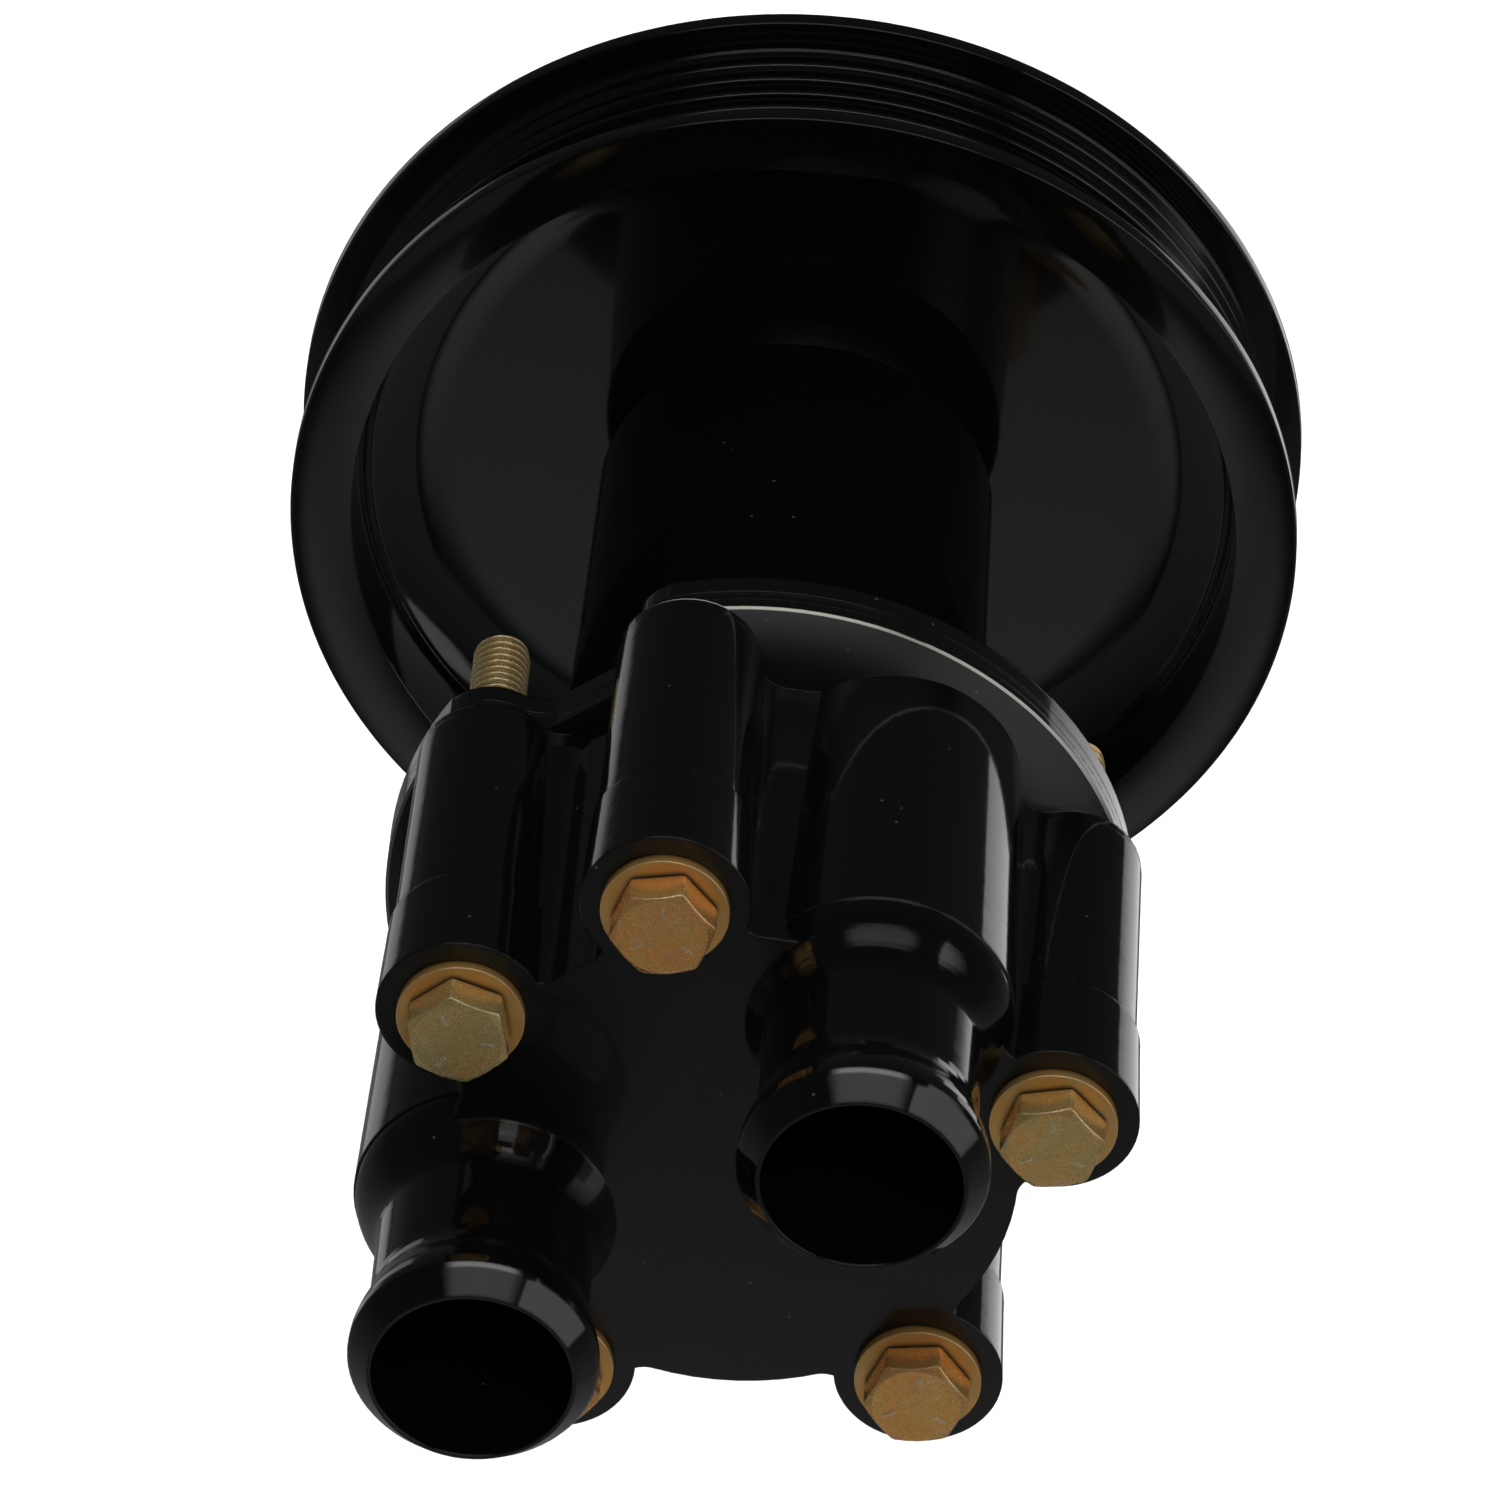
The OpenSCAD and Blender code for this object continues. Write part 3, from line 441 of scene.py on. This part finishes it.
class PUMP_OT_pulley(bpy.types.Operator):
    """Turns the pulley from its profile, with rounded corners"""
    bl_idname = "pump.pulley"
    bl_label = "Pulley"

    def execute(self, context):
        sizes = context.scene.pump_wheel
        low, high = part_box("pulley")
        half, outer = (high[1] - low[1]) / 2, 72 * MM
        rib, floor = sizes.rib, sizes.rib - sizes.groove_depth
        start = -sizes.grooves * sizes.pitch / 2
        # half the width of the flats on the ribs and in the grooves, and the wall under them
        crest, root, wall = 0.35 * MM, 0.37 * MM, 1.5 * MM
        mouth = floor - wall
        profile = [(mouth, -half), (outer, -half), (outer, start), (rib, start)]
        for i in range(sizes.grooves):
            near = start + i * sizes.pitch
            middle, far = near + sizes.pitch / 2, near + sizes.pitch
            profile += [(rib, near + crest), (floor, middle - root),
                        (floor, middle + root), (rib, far - crest)]
        profile += [(rib, -start), (outer, -start), (outer, half), (mouth, half)]
        rim = rounded(profile, 0.3 * MM)
        # the web, between a bend at the rim's front and a broad cove at its rear
        web_front, web_rear, bore, bend = 8 * MM, 4 * MM, 10.05 * MM, 5 * MM
        front = [(mouth - bend + bend * math.cos(t), web_front + bend - bend * math.sin(t))
                 for t in [i * math.pi / 20 for i in range(11)]]
        web = [(bore, web_front), (bore, web_rear)]
        cove_start, cove_width, cove_depth = 50 * MM, 12.3 * MM, 5.1 * MM
        cove = [(cove_start + cove_width * math.cos(t), web_rear - cove_depth + cove_depth * math.sin(t))
                for t in [math.pi / 2 - i * math.pi / 32 for i in range(17)]]
        points = [tuple(p) for p in rim] + front + web + cove
        mesh_edit = lathe(points, 256)
        paint = wheel_enamel(context.scene.pump_paint.enamel)
        wheel = finish_mesh(mesh_edit, "pulley_wheel", paint, 30)
        place_piece(wheel, "rotor", "pulley")
        return {"FINISHED"}


# how far each head stopped from a flat facing +X, in degrees
HEAD_TURNS = (-16, -18, 12, 20, -21)
# tone of the chromate film on each bolt, from greenish to rose
HEAD_HUES = (0.43, 0.545, 0.39, 0.53, 0.53)


class PUMP_OT_body_bolts(bpy.types.Operator):
    """Makes the five long bolts, with chamfered hex heads and real thread on their ends"""
    bl_idname = "pump.body_bolts"
    bl_label = "Body bolts"

    def execute(self, context):
        sizes = context.scene.pump_fasteners
        for number, (turn, hue) in enumerate(zip(HEAD_TURNS, HEAD_HUES), 1):
            plate = yellow_zinc(context.scene.pump_paint.zinc, f"yellow_zinc_on_forged_bolt_{number}",
                                hue=hue)
            low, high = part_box(f"body_bolt_{number}")
            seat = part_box(f"body_washer_{number}")[0][1]
            mesh_edit = bmesh.new()
            self.head(mesh_edit, low[1], seat, math.radians(turn))
            self.grade_marks(mesh_edit, low[1], math.radians(turn))
            self.shank(mesh_edit, seat, high[1], sizes)
            centre = ((low[0] + high[0]) / 2, 0, (low[2] + high[2]) / 2)
            bmesh.ops.translate(mesh_edit, verts=mesh_edit.verts, vec=centre)
            bolt = finish_mesh(mesh_edit, f"long_bolt_{number}", plate, 20)
            place_piece(bolt, "pump_frame", f"body_bolt_{number}")
        return {"FINISHED"}

    def head(self, mesh_edit, outer_face, seat, turned):
        """Hexagon, 12.7 mm across flats, with a 30 degree chamfer and a washer face under it."""
        flat, rings, sides = 6.35 * MM, 12, 96
        # the chamfered crown and its slope, the blunted corners, and the washer face and its step
        crown, slope, corner = flat * 0.95, 1.8, flat * 1.135
        ledge, ledge_radius, nick = 0.35 * MM, flat * 0.97, 0.01 * MM
        height = seat - outer_face
        made = bmesh.ops.create_cone(mesh_edit, cap_ends=True, cap_tris=False, segments=sides,
                                     radius1=flat, radius2=flat, depth=height)
        verts = made["verts"]
        upright = Matrix.Rotation(-math.pi / 2, 3, "X")
        bmesh.ops.rotate(mesh_edit, verts=verts, cent=(0, 0, 0), matrix=upright)
        bmesh.ops.translate(mesh_edit, verts=verts, vec=(0, (seat + outer_face) / 2, 0))
        stations = [0.09 * MM * i for i in range(1, rings)] + [height - ledge, height - ledge + nick]
        for station in stations:
            geom = list(mesh_edit.verts) + list(mesh_edit.edges) + list(mesh_edit.faces)
            bmesh.ops.bisect_plane(mesh_edit, geom=geom, plane_co=(0, outer_face + station, 0),
                                   plane_no=(0, 1, 0))
        for vert in mesh_edit.verts:
            angle = math.atan2(vert.co.z, vert.co.x) - turned
            off = (angle + math.pi / 6) % (math.pi / 3) - math.pi / 6
            deep = vert.co.y - outer_face
            radius = min(flat / math.cos(off), crown + deep * slope, corner)
            if deep > height - ledge + nick / 2:
                radius = ledge_radius
            share = radius / flat
            vert.co.x *= share
            vert.co.z *= share

    def grade_marks(self, mesh_edit, outer_face, turned):
        """Three raised dashes, evenly spread, of the kind that forged bolts carry."""
        length, thickness, width = 1.7 * MM, 0.3 * MM, 0.34 * MM
        reach, sunk = 4.0 * MM, 0.06 * MM
        for k in range(3):
            made = bmesh.ops.create_cube(mesh_edit, size=1)
            verts = made["verts"]
            bmesh.ops.scale(mesh_edit, verts=verts, vec=(length, thickness, width))
            bmesh.ops.translate(mesh_edit, verts=verts, vec=(reach, outer_face + sunk, 0))
            turn = Matrix.Rotation(-(turned + math.radians(108 + 120 * k)), 3, "Y")
            bmesh.ops.rotate(mesh_edit, verts=verts, cent=(0, 0, 0), matrix=turn)

    def shank(self, mesh_edit, seat, tip, sizes):
        """Plain shank, then a thread drawn as one helix, ending in a chamfer."""
        plain, point = 3.97 * MM, 3.1 * MM
        # how steep the thread's flanks are, and how wide its crest
        steep, crest = 1.35, 0.18
        start = tip - sizes.threaded
        made = bmesh.ops.create_cone(mesh_edit, cap_ends=True, cap_tris=False, segments=40,
                                     radius1=plain, radius2=plain, depth=tip - seat)
        verts = made["verts"]
        upright = Matrix.Rotation(-math.pi / 2, 3, "X")
        bmesh.ops.rotate(mesh_edit, verts=verts, cent=(0, 0, 0), matrix=upright)
        bmesh.ops.translate(mesh_edit, verts=verts, vec=(0, (seat + tip) / 2, 0))
        sides = [f for v in verts for f in v.link_faces if len(f.verts) == 4]
        step = sizes.pitch / 8
        rings = int(sizes.threaded / step)
        loose = set(sides)
        geom = list(loose) + list({e for f in loose for e in f.edges})
        geom += list({v for f in loose for v in f.verts})
        for i in range(rings):
            station = start + i * step
            cut = bmesh.ops.bisect_plane(mesh_edit, geom=geom, plane_co=(0, station, 0),
                                         plane_no=(0, 1, 0))
            geom = [g for g in cut["geom"] if self.ahead(g, station)]
        for vert in mesh_edit.verts:
            if vert.co.y < start - HAIR:
                continue
            reach = math.hypot(vert.co.x, vert.co.z)
            if reach < HAIR:
                continue
            phase = (vert.co.y / sizes.pitch + math.atan2(vert.co.z, vert.co.x) / math.tau) % 1
            wave = min(max(abs(phase * 2 - 1) * steep - crest, 0), 1)
            fade = min((vert.co.y - start) / (1.5 * sizes.pitch), 1)
            radius = min(plain - sizes.depth * wave * fade, point + tip - vert.co.y)
            share = radius / reach
            vert.co.x *= share
            vert.co.z *= share

    def ahead(self, part, station):
        """True for the geometry at or beyond a station, which later cuts still need."""
        verts = [part] if isinstance(part, bmesh.types.BMVert) else part.verts
        return all(v.co.y > station - HAIR for v in verts)


class PUMP_OT_body_washers(bpy.types.Operator):
    """Makes the flat washers, with the rounded edge of a stamping"""
    bl_idname = "pump.body_washers"
    bl_label = "Body washers"

    def execute(self, context):
        plate = yellow_zinc(context.scene.pump_paint.zinc, "yellow_zinc_on_stamped_washer",
                            (0.28, 0.42), 0.5)
        hole, edge = context.scene.pump_fasteners.washer_hole, 0.1 * MM
        for number in range(1, 6):
            low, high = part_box(f"body_washer_{number}")
            centre = ((low[0] + high[0]) / 2, (low[2] + high[2]) / 2)
            outer = (high[0] - low[0]) / 2
            corners = [(hole, low[1]), (outer, low[1]), (outer, high[1]), (hole, high[1])]
            profile = rounded(corners, edge)
            mesh_edit = lathe([tuple(p) for p in profile], 64, centre)
            washer = finish_mesh(mesh_edit, f"flat_washer_{number}", plate, 50)
            place_piece(washer, "pump_frame", f"body_washer_{number}")
        return {"FINISHED"}


class PUMP_OT_inner_parts(bpy.types.Operator):
    """Gives the inner parts, the hub and the pulley screws their finishes"""
    bl_idname = "pump.inner_parts"
    bl_label = "Inner parts and screws"

    def execute(self, context):
        ground = plain_metal("ground_bearing_steel", ("#b9bbbf", "#cfd1d4"), 0.12)
        turned = plain_metal("turned_stainless_steel", ("#9fa1a4", "#b6b8ba"), 0.28)
        spring = plain_metal("blackened_spring_steel", ("#2b2b2d", "#3a3a3c"), 0.4)
        bronze = plain_metal("cast_bronze", ("#a47a3c", "#bd9450"), 0.3)
        bright = plain_metal("bright_zinc_plate", ("#aeb2b5", "#c4c7c9"), 0.3)
        rubber = moulded("moulded_black_rubber", ("#141414", "#1c1c1c"), 0.62)
        ceramic = moulded("sintered_ceramic", ("#d9d4c6", "#e3dfd2"), 0.25)
        carbon = moulded("pressed_carbon", ("#1a1a1c", "#242426"), 0.45)
        finishes = {"bearing_steel": ground, "stainless_steel": turned, "dark_spring_steel": spring,
                    "bronze": bronze, "plain_zinc": bright, "black_rubber": rubber,
                    "seal_ceramic": ceramic, "seal_carbon": carbon}
        for part in frame["record"]["subparts"]:
            if part["material_slot"] in finishes and part["node"] not in ("wear_plate", "flange_gasket"):
                paint_nodes([part["node"]], finishes[part["material_slot"]])
        return {"FINISHED"}


# ---------------------------------------------------------------- stage

class PUMP_OT_stage(bpy.types.Operator):
    """Sets the pale floor, the lights and the camera"""
    bl_idname = "pump.stage"
    bl_label = "Stage"

    def execute(self, context):
        scene = context.scene
        scene.view_settings.view_transform = "Standard"
        lights = scene.pump_lights
        # far enough below the pump to catch no sharp shadow of it
        clearance = 0.25
        self.floor(CAD_BOX[0][2] - clearance)
        self.surroundings(scene)
        # a tall card in front and below, brighter towards its foot, that the flat rear faces mirror
        self.card("front_card", (0, -1.01, -1.05), (0.62, 0.95), (0, 1, 0), lights.front,
                  [(0.0, 0.34), (0.62, 0.32), (0.80, 0.25), (0.86, 0.17), (0.93, 0.05), (1.0, 0.02)])
        # a bright box above, a little in front, that draws the fine lines along rims and lips
        self.card("top_card", (0, -0.55, 0.95), (1.3, 0.8), (0, 0.5, -1), lights.top,
                  [(0.0, 0.2), (0.4, 0.65), (0.7, 1.2), (0.72, 2.8), (0.86, 2.8), (0.88, 0.4), (1.0, 0.4)])
        # a broad card to the right, for the sides of the shoulders and the rim's cove
        self.card("side_card", (1.05, -0.6, 0.45), (1.3, 1.3), (-1, 0.6, -0.4), lights.top * 0.9,
                  [(0.0, 0.8), (1.0, 1.0)])
        # strips low at the back, that draw the bright lines down the sides of the round parts
        self.card("right_card", (1.05, 1.72, -0.70), (0.85, 1.3), (-0.5, -1, 0.25), lights.strips,
                  [(0.0, 1.1), (1.0, 0.8)])
        self.card("left_card", (-1.02, 1.75, -0.68), (0.6, 1.3), (0.5, -1, 0.25), lights.strips * 0.4,
                  [(0.0, 1.1), (1.0, 0.8)])
        # a dim card behind, that the pulley's front mirrors
        self.card("back_card", (0, 1.9, -0.60), (1.0, 0.42), (0, -1, 0.3), lights.front,
                  [(0.0, 0.0), (0.25, 0.5), (0.8, 0.3), (1.0, 0.0)])
        # plain lamps, not seen in reflections: on the floor, and on the dull part of the zinc plate
        height, wide = 1.5, 1.2
        for name, x, y, power in (("floor_left", -1.2, 0.6, 20), ("floor_right", 1.2, 0.6, 20),
                                  ("floor_back", 0, 1.6, 20), ("front", 0.3, -1.5, 55)):
            target = (x * 0.3, y * 0.5, -0.2)
            self.lamp(scene, name, (x, y, height), target, wide, power * lights.floor)
        self.camera(scene)
        return {"FINISHED"}

    def floor(self, height):
        """A pale floor, matt and not seen in reflections."""
        made, _, surface, _ = new_material("pale_floor_paint")
        set_surface(surface, Base_Color=linear("#f7f7f7"), Roughness=0.9, Specular_IOR_Level=0.1)
        mesh_edit = bmesh.new()
        bmesh.ops.create_grid(mesh_edit, x_segments=1, y_segments=1, size=12)
        bmesh.ops.translate(mesh_edit, verts=mesh_edit.verts, vec=(0, 0, height))
        floor = finish_mesh(mesh_edit, "floor", made)
        floor.visible_glossy = False

    def card(self, name, centre, size, facing, strength, stops):
        """A glowing card, seen only in reflections. Stops grade it from its foot to its top."""
        made, tree, surface, place = new_material(name + "_glow")
        tree.nodes.remove(surface)
        split = add_node(tree, "ShaderNodeSeparateXYZ", [("Vector", place)])
        side = add_node(tree, "ShaderNodeMath", [(0, split.outputs["X"])], operation="ABSOLUTE")
        fade = add_node(tree, "ShaderNodeMapRange", [("Value", side.outputs[0])], in_1=size[0] * 0.28,
                        in_2=size[0] * 0.5, in_3=1.0, in_4=0.0, interpolation_type="SMOOTHSTEP")
        rise = add_node(tree, "ShaderNodeMapRange", [("Value", split.outputs["Y"])],
                        in_1=-size[1] / 2, in_2=size[1] / 2)
        tone = add_node(tree, "ShaderNodeValToRGB", [("Fac", rise.outputs[0])], stops)
        glow = add_node(tree, "ShaderNodeMath", [(0, tone.outputs[0]), (1, fade.outputs[0])],
                        operation="MULTIPLY")
        power = add_node(tree, "ShaderNodeMath", [(0, glow.outputs[0])], operation="MULTIPLY",
                         in_1=strength)
        light = add_node(tree, "ShaderNodeEmission", [("Strength", power.outputs[0])])
        tree.links.new(light.outputs[0], tree.nodes["Material Output"].inputs["Surface"])
        mesh_edit = bmesh.new()
        bmesh.ops.create_grid(mesh_edit, x_segments=1, y_segments=1, size=0.5)
        bmesh.ops.scale(mesh_edit, verts=mesh_edit.verts, vec=(size[0], size[1], 1))
        card = finish_mesh(mesh_edit, name, made)
        card.rotation_euler = Vector(facing).to_track_quat("Z", "Y").to_euler()
        card.location = centre
        card.visible_camera = card.visible_diffuse = card.visible_shadow = False

    def surroundings(self, scene):
        """Dim light from all round, a little brighter from below."""
        world = bpy.data.worlds.new("studio")
        scene.world = world
        world.use_nodes = True
        tree = world.node_tree
        tree.nodes.clear()
        place = add_node(tree, "ShaderNodeTexCoord").outputs["Generated"]
        split = add_node(tree, "ShaderNodeSeparateXYZ", [("Vector", place)])
        height = add_node(tree, "ShaderNodeMapRange", [("Value", split.outputs["Z"])],
                          in_1=-1.0, in_2=1.0, in_3=0.0, in_4=1.0)
        tone = add_node(tree, "ShaderNodeValToRGB", [("Fac", height.outputs[0])],
                        [(0.0, 0.16), (0.30, 0.09), (0.5, 0.035), (1.0, 0.02)])
        back = add_node(tree, "ShaderNodeBackground", [("Color", tone.outputs[0])], in_Strength=1.0)
        out = add_node(tree, "ShaderNodeOutputWorld")
        tree.links.new(back.outputs[0], out.inputs["Surface"])

    def lamp(self, scene, name, place, target, size, power):
        """A square lamp that no surface mirrors."""
        data = bpy.data.lights.new(name, "AREA")
        data.shape = "RECTANGLE"
        data.size = data.size_y = size
        data.energy = power
        made = bpy.data.objects.new(name, data)
        made.location = place
        aim = Vector(target) - Vector(place)
        made.rotation_euler = aim.to_track_quat("-Z", "Y").to_euler()
        made.visible_glossy = False
        scene.collection.objects.link(made)

    def camera(self, scene):
        """Looks down the shaft from the spigot end, 37 degrees above it, with a slight roll."""
        place = Vector((-0.00049, -1.75221, 1.26985))
        down, side, roll = math.radians(36.967), math.radians(-0.092), math.radians(5.201)
        level = math.cos(down)
        forward = Vector((math.sin(side) * level, math.cos(side) * level, -math.sin(down)))
        right = forward.cross(Vector((0, 0, 1))).normalized()
        up = right.cross(forward)
        turned_right = right * math.cos(roll) + up * math.sin(roll)
        turned_up = -right * math.sin(roll) + up * math.cos(roll)
        data = bpy.data.cameras.new("camera")
        data.sensor_width = 36
        data.lens = 361.73
        data.clip_start, data.clip_end = 0.1, 50
        made = bpy.data.objects.new("camera", data)
        turn = Matrix((turned_right, turned_up, -forward)).transposed()
        made.matrix_world = Matrix.Translation(place) @ turn.to_4x4()
        scene.collection.objects.link(made)
        scene.camera = made


class PUMP_PT_panel(bpy.types.Panel):
    """Lists the pieces of the pump"""
    bl_idname = "PUMP_PT_panel"
    bl_label = "Water Pump"
    bl_space_type = "VIEW_3D"
    bl_region_type = "UI"
    bl_category = "Water Pump"

    def draw(self, context):
        for group in (context.scene.pump_paint, context.scene.pump_fasteners,
                      context.scene.pump_wheel, context.scene.pump_lights):
            box = self.layout.box()
            for name in group.__annotations__:
                box.prop(group, name)
        for step in STEPS:
            self.layout.operator(step.bl_idname)


STEPS = (PUMP_OT_castings, PUMP_OT_pulley, PUMP_OT_body_bolts, PUMP_OT_body_washers,
         PUMP_OT_inner_parts, PUMP_OT_stage)
GROUPS = {"pump_paint": PaintSettings, "pump_fasteners": FastenerSettings,
          "pump_wheel": WheelSettings, "pump_lights": LightSettings}


def register():
    for name, group in GROUPS.items():
        bpy.utils.register_class(group)
        setattr(bpy.types.Scene, name, PointerProperty(type=group))
    for step in STEPS + (PUMP_PT_panel,):
        bpy.utils.register_class(step)


def unregister():
    for step in reversed(STEPS + (PUMP_PT_panel,)):
        bpy.utils.unregister_class(step)
    for name, group in GROUPS.items():
        delattr(bpy.types.Scene, name)
        bpy.utils.unregister_class(group)


def main():
    register()
    for step in STEPS:
        group, name = step.bl_idname.split(".")
        getattr(getattr(bpy.ops, group), name)()


if __name__ == "__main__":
    main()
